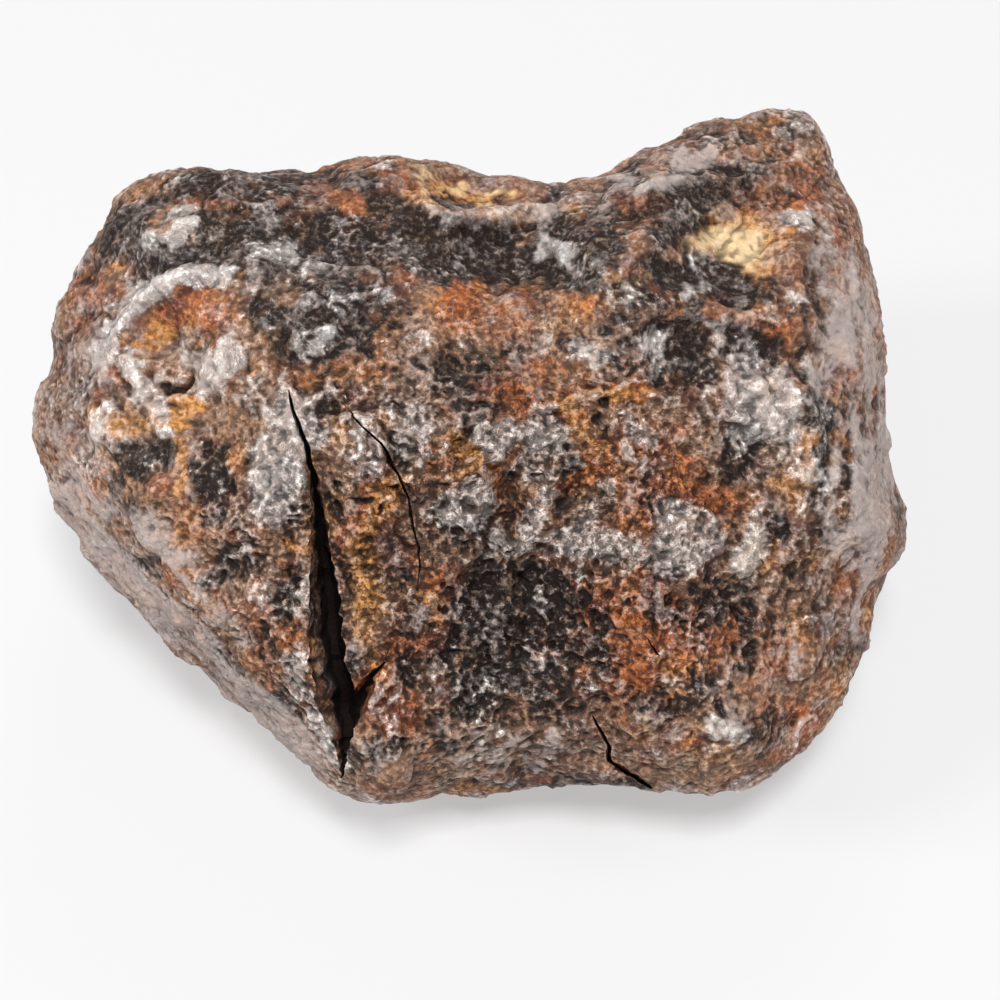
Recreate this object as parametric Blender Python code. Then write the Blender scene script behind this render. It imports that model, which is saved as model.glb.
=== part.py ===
"""A weathered iron meteorite: one solid lump with a broad cracked face.

The lump is shaped face up, with its broad face towards +Z and its outline in the XY plane.
It is then tipped forwards onto the side that it rests on, and that side is worn flat.
Metres, +Z up. The origin is the middle of the finished lump's box, on the resting plane.
"""

from math import atan2, cos, degrees, hypot, radians, sin

import bmesh
import bpy
from mathutils import Matrix, Vector, noise

MM = 0.001

# Driving sizes of the lump.
FACE_RISE = 13.0 * MM  # from the widest outline up to the crown of the broad face
BACK_DROP = 25.0 * MM  # from the widest outline down the far side, before the underside is worn
TIP_FORWARD = radians(32)
REST_DEPTH = 12.6 * MM  # from the outline's centre down to the plane that the lump rests on
SHOULDER_POWER = 2.7  # 2 rounds the lump like an egg, and a higher power squares its shoulders
SKIN_SPLITS = 5  # icosphere subdivisions
CREASE_ANGLE = radians(50)  # sharper edges than this stay crisp, such as the lips of the crack

# The widest outline, as the broad face is looked at: place, angle from +X in degrees, radius in mm.
OUTLINE = (
    ("right side", 4, 23.8),
    ("right shoulder", 27, 26.0),
    ("under the horn", 37, 26.3),
    ("horn side", 43, 26.8),
    ("horn tip", 48, 28.5),
    ("horn slope, high", 52, 24.4),
    ("horn slope", 57, 19.8),
    ("foot of the horn", 64, 17.1),
    ("saddle", 77, 16.0),
    ("far hump", 101, 17.0),
    ("far dip", 116, 17.6),
    ("left far shoulder", 127, 19.7),
    ("left far crest", 134, 23.4),
    ("left far corner", 144, 24.8),
    ("left notch", 149, 24.3),
    ("left side, far", 160, 24.1),
    ("left side", 168, 23.8),
    ("left tip", 177, 25.2),
    ("left side, near", 190, 25.4),
    ("left flank", 205, 20.6),
    ("foot of the left flank", 218, 19.5),
    ("crack mouth", 236, 20.3),
    ("near left foot", 254, 20.3),
    ("near side", 268, 19.4),
    ("near side, right", 284, 19.2),
    ("near right foot", 300, 21.7),
    ("near right corner", 317, 27.7),
    ("right side, low", 331, 25.3),
    ("right side, hollow", 341, 23.7),
    ("right bulge", 350, 24.9),
)

# Broken facets of the broad face, before tipping: name, way it faces (x, y, z), distance in mm
# from the outline's centre, and how soft its border is, in mm.
FACE_FACETS = (
    ("far slope", (0.10, 0.62, 0.78), 15.8, 2.0),
    ("left far corner", (-0.62, 0.38, 0.69), 20.6, 1.6),
    ("left flank", (-0.80, -0.20, 0.56), 22.0, 1.4),
    ("lower left flank", (-0.66, -0.60, 0.45), 19.0, 1.2),
    ("right flank", (0.90, 0.05, 0.43), 23.6, 1.2),
    ("lower right flank", (0.68, -0.46, 0.57), 23.2, 1.8),
    ("near flank", (-0.02, -0.84, 0.54), 18.6, 1.0),
    ("broad face", (0.06, -0.10, 0.99), 11.8, 2.4),
)

# Facets of the sides and back, after tipping: name, bearing and rise in degrees, distance in mm,
# border in mm. Bearing 0 faces +X and 90 faces the back, +Y.
HIDDEN_FACETS = (
    ("back, high", (98, 24), 17.4, 1.6),
    ("back", (96, -6), 17.6, 2.0),
    ("back left", (138, -20), 21.6, 2.0),
    ("back right", (40, -28), 20.8, 2.0),
    ("left low", (190, -38), 19.6, 1.8),
    ("right low", (-8, -42), 20.4, 1.8),
    ("front low left", (232, -46), 18.6, 1.4),
    ("front low right", (306, -52), 20.2, 1.4),
    ("back low", (86, -46), 17.4, 2.0),
)

# Thumbprint hollows (negative) and swellings (positive) of the broad face, before tipping:
# name, x and y in mm, reach in mm, depth or height in mm.
FACE_RELIEF = (
    ("far trough", 2.8, 10.8, 4.6, -1.5),
    ("ledge behind the trough", 0.4, 15.2, 3.0, -1.2),
    ("horn hollow", 13.6, 11.4, 4.2, -1.3),
    ("dark pit", 11.0, 5.4, 3.0, -1.0),
    ("right swelling", 10.0, -6.0, 6.0, 1.0),
    ("middle valley", 2.6, -7.6, 3.6, -0.8),
    ("slope beside the crack", -5.0, -8.6, 3.2, -0.8),
    ("left plate", -10.2, -3.4, 3.4, 0.7),
    ("left hollow", -15.6, 3.6, 3.0, -1.1),
    ("curved ridge", -16.4, 8.2, 2.6, 0.9),
    ("near left foot", -5.0, -17.0, 3.4, 0.8),
    ("right rim", 17.4, 2.4, 3.6, 0.8),
)

# The same for the sides and back, after tipping: name, bearing and rise in degrees, reach, depth.
HIDDEN_RELIEF = (
    ("back thumbprint", (76, 8), 7.0, -1.6),
    ("back left thumbprint", (124, -12), 6.4, -1.5),
    ("back right thumbprint", (30, 4), 5.6, -1.2),
    ("left thumbprint", (178, -16), 5.4, -1.0),
    ("right thumbprint", (-14, -16), 5.2, -1.0),
    ("crest over the back", (110, 38), 5.0, 0.7),
    ("back knob", (56, -32), 4.4, 1.0),
)

# Uneven skin: wavelength and height in mm.
SKIN_WAVES = ((9.0, 1.15), (4.2, 0.55), (2.2, 0.24))

# The open crack, in mm before tipping: x and y along its run, half width, height of its floor.
CRACK_RUN = (
    (-9.4, 2.6, 0.06, 9.8),
    (-9.0, 1.6, 0.10, 8.8),
    (-8.4, 0.0, 0.14, 8.0),
    (-7.9, -2.6, 0.22, 7.2),
    (-7.5, -4.8, 0.34, 6.4),
    (-7.3, -7.2, 0.50, 5.6),
    (-7.3, -9.8, 0.55, 4.8),
    (-7.0, -12.2, 0.55, 3.6),
    (-6.7, -15.0, 0.42, 2.4),
    (-6.6, -17.2, 0.30, 1.8),
    (-6.6, -20.0, 0.22, 1.6),
)
CRACK_ROOF = 18.0  # height that the cutter reaches above the outline plane, in mm
FLOOR_PINCH = 0.4  # width of the crack's floor as a share of its width at the roof

# The skin is dark oxide with rust over it, and it keeps a little of the iron's shine.
RUST_BROWN = (0.16, 0.075, 0.045, 1.0)
RUST_ROUGHNESS = 0.5
RUST_METALLIC = 0.25


def outline_radius(angle):
    """The outline's radius in metres at an angle in radians, smooth between its points."""
    turn = degrees(angle) % 360
    count = len(OUTLINE)
    after = next((i for i, (_, a, _) in enumerate(OUTLINE) if a > turn), count)
    _, a0, r0 = OUTLINE[after - 1]
    _, a1, r1 = OUTLINE[after % count]
    r_before = OUTLINE[after - 2][2]
    r_beyond = OUTLINE[(after + 1) % count][2]
    t = (turn - a0) % 360 / ((a1 - a0) % 360)
    bend = (
        2 * r0
        + (r1 - r_before) * t
        + (2 * r_before - 5 * r0 + 4 * r1 - r_beyond) * t * t
        + (3 * r0 - r_before - 3 * r1 + r_beyond) * t**3
    )
    return 0.5 * bend * MM


def squared_lump():
    """A closed ball of triangles drawn out to the outline, with squared shoulders."""
    mesh = bmesh.new()
    bmesh.ops.create_icosphere(mesh, subdivisions=SKIN_SPLITS, radius=1.0)
    for vert in mesh.verts:
        x, y, z = vert.co
        around = hypot(x, y)
        power = SHOULDER_POWER
        grow = (around**power + abs(z) ** power) ** (-1 / power)
        reach = around * grow * outline_radius(atan2(y, x))
        angle = atan2(y, x)
        height = z * grow * (FACE_RISE if z > 0 else BACK_DROP)
        vert.co = (reach * cos(angle), reach * sin(angle), height)
    return mesh


def facing(bearing_and_rise):
    """The unit vector of a compass bearing and a rise above the horizon, both in degrees."""
    bearing, rise = (radians(a) for a in bearing_and_rise)
    return Vector((cos(bearing) * cos(rise), sin(bearing) * cos(rise), sin(rise)))


def break_facet(mesh, normal, distance, border):
    """Wears back what stands past a plane, easing in over the border so the edge stays rounded."""
    normal = normal.normalized()
    for vert in mesh.verts:
        past = vert.co.dot(normal) - distance
        if past > -border:
            worn = past if past > border else (past + border) ** 2 / (4 * border)
            vert.co -= normal * worn


def raise_spot(mesh, middle, reach, height):
    """Pushes the skin around a point out, or in for a negative height, with a soft edge."""
    mesh.normal_update()
    spot = min(mesh.verts, key=lambda vert: (vert.co - middle).length_squared)
    out = spot.normal.copy()
    for vert in mesh.verts:
        share = 1 - ((vert.co - middle) / reach).length_squared
        if share > 0:
            vert.co += out * height * share * share


def point_above(mesh, x, y):
    """The point of the broad face over x, y, at the height of its nearest corner."""
    face = (vert.co for vert in mesh.verts if vert.co.z > 0)
    nearest = min(face, key=lambda co: hypot(co.x - x, co.y - y))
    return Vector((x, y, nearest.z))


def point_towards(mesh, direction):
    """The skin point furthest along a direction from the middle."""
    return max((v.co for v in mesh.verts), key=lambda co: co.normalized().dot(direction)).copy()


def roughen(mesh):
    """Gives the skin its uneven lumps and hollows."""
    mesh.normal_update()
    moves = []
    for vert in mesh.verts:
        swell = sum(noise.noise(vert.co / (wave * MM)) * high * MM for wave, high in SKIN_WAVES)
        moves.append(vert.normal * swell)
    for vert, move in zip(mesh.verts, moves):
        vert.co += move


def wear_flat(mesh, height):
    """Takes off what lies below a height, and closes the flat side that the lump rests on."""
    bmesh.ops.bisect_plane(
        mesh,
        geom=mesh.verts[:] + mesh.edges[:] + mesh.faces[:],
        plane_co=(0, 0, height),
        plane_no=(0, 0, 1),
        clear_inner=True,
    )
    rim = [edge for edge in mesh.edges if edge.is_boundary]
    bmesh.ops.edgeloop_fill(mesh, edges=rim)


def crack_blade():
    """The cutter for the crack: a thin wedge that follows its run, with a slanting floor."""
    mesh = bmesh.new()
    loops = []
    for x, y, half, floor in CRACK_RUN:
        pinched = half * FLOOR_PINCH
        corners = (
            (x - half, y, CRACK_ROOF),
            (x + half, y, CRACK_ROOF),
            (x + pinched, y, floor),
            (x - pinched, y, floor),
        )
        loops.append([mesh.verts.new(Vector(corner) * MM) for corner in corners])
    for near, far in zip(loops, loops[1:]):
        for k in range(4):
            mesh.faces.new((near[k], near[k - 1], far[k - 1], far[k]))
    mesh.faces.new(loops[0])
    mesh.faces.new(reversed(loops[-1]))
    bmesh.ops.recalc_face_normals(mesh, faces=mesh.faces)
    return mesh


def make_object(name, mesh):
    data = bpy.data.meshes.new(name)
    mesh.to_mesh(data)
    mesh.free()
    made = bpy.data.objects.new(name, data)
    bpy.context.scene.collection.objects.link(made)
    return made


def rusted_iron():
    material = bpy.data.materials.new("rusted_iron")
    material.use_nodes = True
    shader = material.node_tree.nodes["Principled BSDF"]
    shader.inputs["Base Color"].default_value = RUST_BROWN
    shader.inputs["Roughness"].default_value = RUST_ROUGHNESS
    shader.inputs["Metallic"].default_value = RUST_METALLIC
    return material


def box_base_centre(mesh):
    """The middle of the underside of the mesh's box."""
    low = Vector(min(vert.co[axis] for vert in mesh.verts) for axis in range(3))
    high = Vector(max(vert.co[axis] for vert in mesh.verts) for axis in range(3))
    return Vector(((low.x + high.x) / 2, (low.y + high.y) / 2, low.z))


def main():
    for old in list(bpy.data.objects):
        bpy.data.objects.remove(old)

    lump = squared_lump()
    for _, way, distance, border in FACE_FACETS:
        break_facet(lump, Vector(way), distance * MM, border * MM)
    for _, x, y, reach, height in FACE_RELIEF:
        middle = point_above(lump, x * MM, y * MM)
        raise_spot(lump, middle, reach * MM, height * MM)

    tip = Matrix.Rotation(TIP_FORWARD, 4, "X")
    lump.transform(tip)
    for _, way, distance, border in HIDDEN_FACETS:
        break_facet(lump, facing(way), distance * MM, border * MM)
    for _, way, reach, height in HIDDEN_RELIEF:
        middle = point_towards(lump, facing(way))
        raise_spot(lump, middle, reach * MM, height * MM)
    roughen(lump)
    wear_flat(lump, -REST_DEPTH)

    blade = crack_blade()
    blade.transform(tip)
    to_base = Matrix.Translation(-box_base_centre(lump))
    lump.transform(to_base)
    blade.transform(to_base)

    meteorite = make_object("meteorite", lump)
    meteorite.data.materials.append(rusted_iron())
    cutter = make_object("crack_blade", blade)
    cutter.hide_render = True
    cutter.display_type = "WIRE"
    cut = meteorite.modifiers.new("crack", "BOOLEAN")
    cut.operation = "DIFFERENCE"
    cut.object = cutter
    meteorite.data.shade_smooth()
    meteorite.data.set_sharp_from_angle(angle=CREASE_ANGLE)


main()
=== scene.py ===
"""The looks of a weathered iron meteorite, built over its plain solid.

One piece of skin stands for the whole lump. Sizes are in metres unless a name or comment says mm.
"""

from math import cos, radians, sin

import bmesh
import bpy
import numpy as np
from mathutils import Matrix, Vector, noise
from mathutils.bvhtree import BVHTree


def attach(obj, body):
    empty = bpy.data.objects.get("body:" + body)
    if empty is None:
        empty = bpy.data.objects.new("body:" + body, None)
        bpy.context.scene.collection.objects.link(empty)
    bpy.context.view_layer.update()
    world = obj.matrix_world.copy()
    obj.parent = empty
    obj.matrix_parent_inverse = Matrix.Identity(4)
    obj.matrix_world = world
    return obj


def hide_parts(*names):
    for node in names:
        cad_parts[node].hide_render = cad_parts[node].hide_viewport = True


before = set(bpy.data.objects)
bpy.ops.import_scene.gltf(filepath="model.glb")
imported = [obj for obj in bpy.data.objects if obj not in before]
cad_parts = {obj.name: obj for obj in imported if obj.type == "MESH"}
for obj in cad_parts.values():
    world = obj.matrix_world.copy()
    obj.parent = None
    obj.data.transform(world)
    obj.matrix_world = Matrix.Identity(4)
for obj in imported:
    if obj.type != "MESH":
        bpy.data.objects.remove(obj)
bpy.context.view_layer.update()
MM = 0.001


# The camera looks down on the broad face from the front, close enough for the face to bulge a little.
# The drawing sheet lies square to it through the lump's middle. Places on the face are given in mm
# across and up this sheet, from the spot that the camera aims at, along the lines of sight.
CAMERA_RISE = radians(58)
CAMERA_DISTANCE = 120 * MM
SHEET_WIDTH = 57.5 * MM
AIM = Vector((1.76 * MM, -1.92 * MM, 11.2 * MM))
SENSOR_WIDTH = 36  # mm, as Blender counts it
NEAREST_SEEN = 10 * MM

look = Vector((0, cos(CAMERA_RISE), -sin(CAMERA_RISE)))
sheet_up = Vector((0, sin(CAMERA_RISE), cos(CAMERA_RISE)))
eye = AIM - look * CAMERA_DISTANCE

camera_data = bpy.data.cameras.new("camera")
camera_data.sensor_width = SENSOR_WIDTH
camera_data.lens = SENSOR_WIDTH * CAMERA_DISTANCE / SHEET_WIDTH
camera_data.clip_start = NEAREST_SEEN
camera = bpy.data.objects.new("camera", camera_data)
camera.location = eye
camera.rotation_euler = (radians(90) - CAMERA_RISE, 0, 0)
bpy.context.scene.collection.objects.link(camera)
bpy.context.scene.camera = camera


# The skin is the lump's own crust, one closed surface over the plain solid. It starts as an even,
# smooth hide with the plain crack closed over, finer on the side that shows its broad face.
SOLID_WELD = 0.001 * MM
CRACK_CLOSING = 0.65 * MM
HIDE_GRAIN = 0.422 * MM
SWOLLEN_SMOOTHING = 3
HIDE_SMOOTHING = 7
FINE_SMOOTHING = 2
GRAZING = 0.2  # how much a corner has to face the eye, from 0 edge-on to 1, to be on that side


def evaluated_copy(piece):
    """A new mesh of the piece as its modifiers leave it."""
    graph = bpy.context.evaluated_depsgraph_get()
    return bpy.data.meshes.new_from_object(piece.evaluated_get(graph))


def swell(shape, distance):
    """Moves every corner out along its normal, or in for a negative distance."""
    shape.normal_update()
    for vert, normal in [(vert, vert.normal.copy()) for vert in shape.verts]:
        vert.co += normal * distance


def soften(shape, times):
    """Relaxes a mesh, each corner moving halfway to the middle of its neighbours."""
    for _ in range(times):
        bmesh.ops.smooth_vert(
            shape, verts=shape.verts, factor=0.5, use_axis_x=True, use_axis_y=True, use_axis_z=True
        )
    shape.normal_update()


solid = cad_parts["meteorite"]
shape = bmesh.new()
shape.from_mesh(solid.data)
bmesh.ops.remove_doubles(shape, verts=shape.verts, dist=SOLID_WELD)
swell(shape, CRACK_CLOSING)
skin_mesh = bpy.data.meshes.new("skin")
shape.to_mesh(skin_mesh)
shape.free()
skin = bpy.data.objects.new("meteorite_skin", skin_mesh)
bpy.context.scene.collection.objects.link(skin)
even = skin.modifiers.new("even_grain", "REMESH")
even.mode = "VOXEL"
even.voxel_size = HIDE_GRAIN
skin_mesh = evaluated_copy(skin)
skin.modifiers.clear()

shape = bmesh.new()
shape.from_mesh(skin_mesh)
soften(shape, SWOLLEN_SMOOTHING)
swell(shape, -CRACK_CLOSING)
soften(shape, HIDE_SMOOTHING)
seen = {vert for vert in shape.verts if vert.normal.dot((eye - vert.co).normalized()) > GRAZING}
face_edges = [edge for edge in shape.edges if edge.verts[0] in seen and edge.verts[1] in seen]
bmesh.ops.subdivide_edges(shape, edges=face_edges, cuts=1, use_grid_fill=True)
bmesh.ops.triangulate(shape, faces=shape.faces)
soften(shape, FINE_SMOOTHING)


# Ages of rust have left the crust lumpy. It has ridges, hollows and bosses a few mm across, flakes
# and scabs of oxide, clusters of beads, small pits, and grains the size of sand between them.
# Ridges: a run of places across and up the sheet, then half width and height in mm.
RIDGES = {
    "curved ridge, near": (((-23.2, 5.2), (-22.7, 7.4), (-22.0, 9.4)), 1.0, 0.45),
    "curved ridge": (
        ((-22.2, 8.6), (-21.3, 10.4), (-20.2, 11.8), (-18.6, 12.8), (-16.2, 13.4)),
        0.9,
        0.7,
    ),
    "furrow behind it": (((-21.8, 11.6), (-20.2, 13.4), (-17.4, 14.6), (-14.6, 14.4)), 1.1, -0.55),
    "small ridge": (((-20.2, 14.8), (-18.8, 15.8), (-17.2, 16.6)), 0.7, 0.5),
    "hook": (((-20.0, 8.8), (-21.2, 7.9), (-21.0, 6.6), (-20.2, 5.6)), 0.9, 0.4),
    "cavity mouth": (((-20.0, 6.9), (-19.2, 6.4), (-18.3, 6.4), (-17.6, 7.0)), 0.4, -0.55),
    "left lip of the crack": (
        ((-12.6, 5.6), (-11.6, 1.6), (-11.2, -3.0), (-11.2, -8.0), (-9.9, -14.0)),
        0.9,
        0.4,
    ),
    "right side of the crack": (((-10.4, 3.0), (-9.4, -1.5), (-8.9, -5.4), (-8.9, -10.0)), 0.8, -0.4),
    "slab edge": (((-9.6, 4.2), (-8.4, 4.9), (-7.0, 3.6), (-6.2, 1.6)), 0.5, 0.3),
    "orange ridge": (((1.2, 5.3), (3.4, 5.6), (5.4, 5.9), (7.2, 6.6), (8.8, 7.6)), 0.55, 0.4),
    "rim of the dark pit": (((8.0, 11.2), (9.6, 10.9), (11.4, 10.8)), 0.6, 0.15),
    "lip of the brown pit": (((-0.6, -2.3), (0.6, -2.8), (2.2, -2.7)), 0.3, 0.4),
    "stem under the pit": (((0.5, -3.0), (0.5, -4.6), (0.6, -6.0)), 0.35, 0.35),
    "upper edge of the scallop": (((2.6, 1.6), (3.6, 2.6), (4.8, 2.9), (6.4, 3.4)), 0.35, 0.35),
    "edge of the crust": (((-2.4, 2.1), (-1.2, 2.4), (0.2, 2.3), (1.4, 2.0)), 0.3, 0.3),
    "ring, left": (((-2.1, 0.6), (-2.8, 0.2), (-2.9, -0.5), (-2.3, -1.0)), 0.25, 0.3),
    "ring, right": (((-2.1, 0.6), (-1.5, 0.3), (-1.3, -0.5), (-2.0, -1.0)), 0.25, 0.25),
    "trough rim": (((-4.4, 12.2), (-1.0, 11.4), (2.6, 11.8), (5.4, 12.6)), 0.9, 0.12),
    "saddle ledge": (((-5.6, 17.6), (-2.8, 16.4), (0.6, 16.2), (3.6, 16.8)), 0.9, 0.4),
    "horn shelf": (((5.6, 17.2), (8.2, 18.0), (11.2, 18.6), (14.2, 18.2)), 1.0, 0.45),
    "right border": (((17.4, 17.6), (17.5, 13.0), (17.7, 9.4), (18.0, 5.6), (18.4, 2.0)), 1.1, 0.35),
    "border furrow": (((18.6, 16.0), (18.6, 10.0), (19.0, 4.0), (18.4, -1.0)), 1.1, -0.25),
    "border, near": (((17.6, 1.2), (16.8, -2.4), (15.2, -5.6), (14.4, -9.0)), 0.9, 0.4),
    "left flank crest": (((-23.4, 2.6), (-20.4, -2.2), (-16.6, -6.2), (-12.6, -10.8)), 1.3, 0.35),
    "near rim": (((-6.8, -14.0), (-2.0, -13.2), (3.0, -13.4), (5.4, -12.4)), 1.0, 0.3),
    "seam": (((8.6, 1.6), (8.8, -2.0), (8.6, -5.4), (8.8, -8.6)), 0.3, -0.14),
}
# Bosses, or hollows where the height is below 0: middle across and up, half width and half height,
# turn in degrees, then height in mm.
BOSSES = {
    "cavity floor": (-18.5, 5.6, 1.5, 0.6, 8, 0.25),
    "boss beside the cavity": (-16.4, 7.6, 1.1, 1.6, -12, 0.75),
    "ochre hollow": (-18.7, 9.8, 1.7, 1.6, 20, -0.45),
    "silver knob": (-19.2, 4.4, 0.8, 0.8, 0, 0.4),
    "left knob": (-22.9, 4.4, 0.9, 0.9, 0, 0.4),
    "left hollow": (-20.5, 2.6, 1.5, 1.2, 10, -0.6),
    "left hollow, near": (-16.8, 1.4, 1.2, 2.3, 0, -0.5),
    "plate": (-12.7, 2.4, 1.7, 3.8, -6, 0.4),
    "boulder": (-10.5, 10.4, 2.3, 2.0, 15, 0.8),
    "foot of the boulder": (-12.6, 8.2, 1.2, 0.8, -40, -0.4),
    "hollow in the left flank": (-15.8, -3.8, 1.4, 1.2, 0, -0.35),
    "hollow beside the crack": (-12.4, -5.5, 0.8, 1.7, 0, -0.3),
    "slab": (-8.0, 3.0, 1.4, 1.9, -20, 0.35),
    "wedge": (-2.4, 2.9, 0.5, 1.4, -10, -0.35),
    "crust, left": (-0.4, 3.6, 1.5, 1.3, 0, 0.35),
    "crust, right": (2.3, 3.8, 1.4, 1.5, 0, 0.3),
    "lace": (-2.1, -0.3, 1.7, 1.5, -25, 0.2),
    "ring pit": (-2.1, -0.2, 0.55, 0.6, 0, -0.5),
    "brown pit": (0.7, -0.4, 1.0, 2.2, 6, -1.0),
    "scallop": (4.7, 0.2, 1.7, 2.5, -14, -0.6),
    "dark trough": (-1.4, 14.2, 4.8, 2.0, -6, -0.5),
    "trough, right": (3.4, 13.6, 2.2, 1.6, -10, -0.25),
    "hollow under the horn": (12.0, 12.9, 3.8, 1.2, -8, -0.45),
    "cream pocket": (13.4, 15.2, 2.8, 1.6, -12, -0.3),
    "dark pit": (10.9, 8.2, 1.4, 1.5, 25, -0.4),
    "dark pit, left": (8.8, 9.6, 0.9, 0.8, 0, -0.3),
    "dark pit, low": (9.1, 7.4, 0.6, 1.2, 10, -0.3),
    "shelf above the beads": (14.4, 10.4, 2.4, 1.0, -8, 0.35),
    "hollow left of the stem": (-0.8, -4.6, 0.9, 1.4, 0, -0.3),
    "hollow right of the stem": (1.7, -4.7, 0.7, 1.3, 0, -0.3),
    "white crust, left": (5.9, -2.4, 2.3, 1.2, -6, 0.3),
    "white crust pit": (6.2, -3.4, 0.9, 0.6, 0, -0.5),
    "white crust, right": (10.4, -2.3, 2.2, 1.4, 0, 0.35),
    "white patch at the border": (14.3, -3.3, 1.1, 1.7, -20, 0.4),
    "dark valley": (1.0, -7.2, 3.6, 2.8, 0, -0.5),
    "gully": (-4.4, -11.6, 1.2, 2.8, 8, -0.4),
    "orange slope": (-6.6, -11.2, 1.5, 2.2, 0, 0.3),
    "shadow under the orange slope": (-8.2, -12.0, 0.8, 1.8, -10, -0.6),
    "olive hollow": (13.8, 2.4, 1.2, 3.0, 0, -0.4),
    "bead, top": (14.7, 6.6, 0.7, 0.7, 0, 0.45),
    "bead, right": (16.9, 5.8, 0.8, 0.9, 0, 0.5),
    "bead, border": (17.4, 1.6, 0.9, 0.7, 0, 0.4),
    "knob near the hairline": (12.7, -13.1, 0.9, 0.6, 0, 0.35),
    "hump": (-6.4, 18.6, 2.4, 1.2, 0, 0.3),
    "knuckle on the trough": (3.4, 14.4, 0.6, 0.7, 0, 0.4),
    "pale knuckle": (11.1, 12.2, 0.8, 0.7, 0, 0.35),
    "notch in the left edge": (-24.2, 13.4, 1.0, 0.7, 30, -0.5),
}
# Beads: middle, half sizes and turn of the patch, bead width and height in mm.
BEADS = (
    (15.0, 4.6, 2.6, 3.6, 0, 0.95, 0.42),
    (8.2, 2.2, 2.8, 2.2, 0, 0.62, 0.24),
    (10.6, -0.2, 2.4, 2.0, 0, 0.7, 0.22),
    (4.6, 0.6, 1.6, 2.2, 0, 0.5, 0.16),
    (12.6, 8.0, 2.0, 1.6, 0, 0.9, 0.3),
    (-7.2, 0.6, 1.4, 2.4, 0, 0.55, 0.16),
)
# Swells, sharp crests and flakes: wavelength or width, then height, in mm.
SWELLS = ((4.2, 0.30), (2.3, 0.26))
CRESTS = ((1.5, 0.18), (0.85, 0.18), (0.5, 0.16), (0.36, 0.10))
FLAKES = ((1.3, 0.27), (0.66, 0.17))
CREST_SHARPNESS = 3
FLAKE_BEVEL = 0.25
SCAB_SPACING = 2.6
SCAB_RISE = 0.20
SCAB_START = 0.06
SCAB_BEVEL = 0.10
PIT_SPACING = 1.5
PIT_DEPTH = 0.30
PIT_REACH = 0.26
UNPITTED = 0.35  # the share of places for a pit that have none
BEAD_REACH = 0.62
RIDGE_TAPER = 6  # a ridge dies out over a sixth of its run at each end
MEAN_RISE = 0.4  # taken off crests and beads, so that they don't lift the whole skin
SINK = 0.22  # how far the whole skin is taken in, so that its relief stays in the solid's box
# The fresh, crusty band across the middle of the face, as an oval place like the bosses.
MIDDLE_BAND = (0.0, -3.0, 17.0, 12.0, 0)
WORN_SHARE = 0.3
# How far noise shifts the places on the sheet: wavelength and reach, long then short, in mm.
RELIEF_SHIFT = ((2.2, 0.5), (0.8, 0.3))
SHOWN_FROM = 0.3  # how much the hide has to face the eye for its relief to be at its full height
SEED_STEP = 17.3
LOT_STEP = 37.1
PLACE_RIM = 1.45  # an oval place ends this far out, as a share of its half size
PLACE_SOFTNESS = 1.1


def on_sheet(points):
    """Where points lie on the drawing sheet: mm across and mm up, as two rows of numbers."""
    rays = points - np.array(eye)
    scale = CAMERA_DISTANCE / (rays @ np.array(look)) / MM
    return rays[:, 0] * scale, (rays @ np.array(sheet_up)) * scale


def to_eye(points):
    """Unit directions from points to the eye, one row each."""
    ways = np.array(eye) - points
    return ways / np.linalg.norm(ways, axis=1)[:, None]


def ease(share):
    """Goes from 0 to 1 with a soft start and a soft end."""
    share = np.clip(share, 0, 1)
    return share * share * (3 - 2 * share)


def waves(points, wavelength, seed):
    """Smooth noise from about -1 to 1 at each point, with a wavelength in mm."""
    shifted = points / (wavelength * MM) + seed * SEED_STEP
    return np.array([noise.noise(Vector(point)) for point in shifted])


def stones(points, width, seed):
    """Scattered cells of a width in mm.

    Gives three rows: the gap to the nearest middle, the gap to its border, and a lot from 0 to 1.
    """
    found = np.empty((len(points), 3))
    for row, point in enumerate(points / (width * MM) + seed * SEED_STEP):
        gaps, middles = noise.voronoi(Vector(point))
        found[row] = gaps[0], gaps[1] - gaps[0], noise.cell(middles[0] * LOT_STEP)
    return found.T


def along(across, up, run):
    """Distance in mm from a line on the sheet through the points of a run, and how far along it."""
    nearest = np.full(across.shape, 1e9)
    share = np.zeros(across.shape)
    for step, ((x0, y0), (x1, y1)) in enumerate(zip(run, run[1:])):
        dx, dy = x1 - x0, y1 - y0
        t = np.clip(((across - x0) * dx + (up - y0) * dy) / (dx * dx + dy * dy), 0, 1)
        gap = np.hypot(across - x0 - t * dx, up - y0 - t * dy)
        share = np.where(gap < nearest, (step + t) / (len(run) - 1), share)
        nearest = np.minimum(nearest, gap)
    return nearest, share


def patch(across, up, x, y, wide, high, turn):
    """1 in the middle of an oval place on the sheet, easing to 0 at its rim."""
    c, s = cos(radians(turn)), sin(radians(turn))
    dx, dy = across - x, up - y
    reach = np.hypot((dx * c + dy * s) / wide, (dy * c - dx * s) / high)
    return ease((PLACE_RIM - reach) / PLACE_SOFTNESS)


def ragged(across, up, points, shift, seed):
    """Places on the sheet after noise has shifted them, which makes what is laid there ragged."""
    (long, far), (short, near) = shift
    across = across + far * waves(points, long, seed) + near * waves(points, short, seed + 1)
    up = up + far * waves(points, long, seed + 2) + near * waves(points, short, seed + 3)
    return across, up


hide = np.array([vert.co for vert in shape.verts])
outward = np.array([vert.normal for vert in shape.verts])
shown = ease((outward * to_eye(hide)).sum(1) / SHOWN_FROM)
ragged_across, ragged_up = ragged(*on_sheet(hide), hide, RELIEF_SHIFT, 21)
# The middle band of the face is fresh and crusty, and the far slopes and flanks are worn smoother.
crusty = WORN_SHARE + (1 - WORN_SHARE) * shown * patch(ragged_across, ragged_up, *MIDDLE_BAND)

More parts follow.
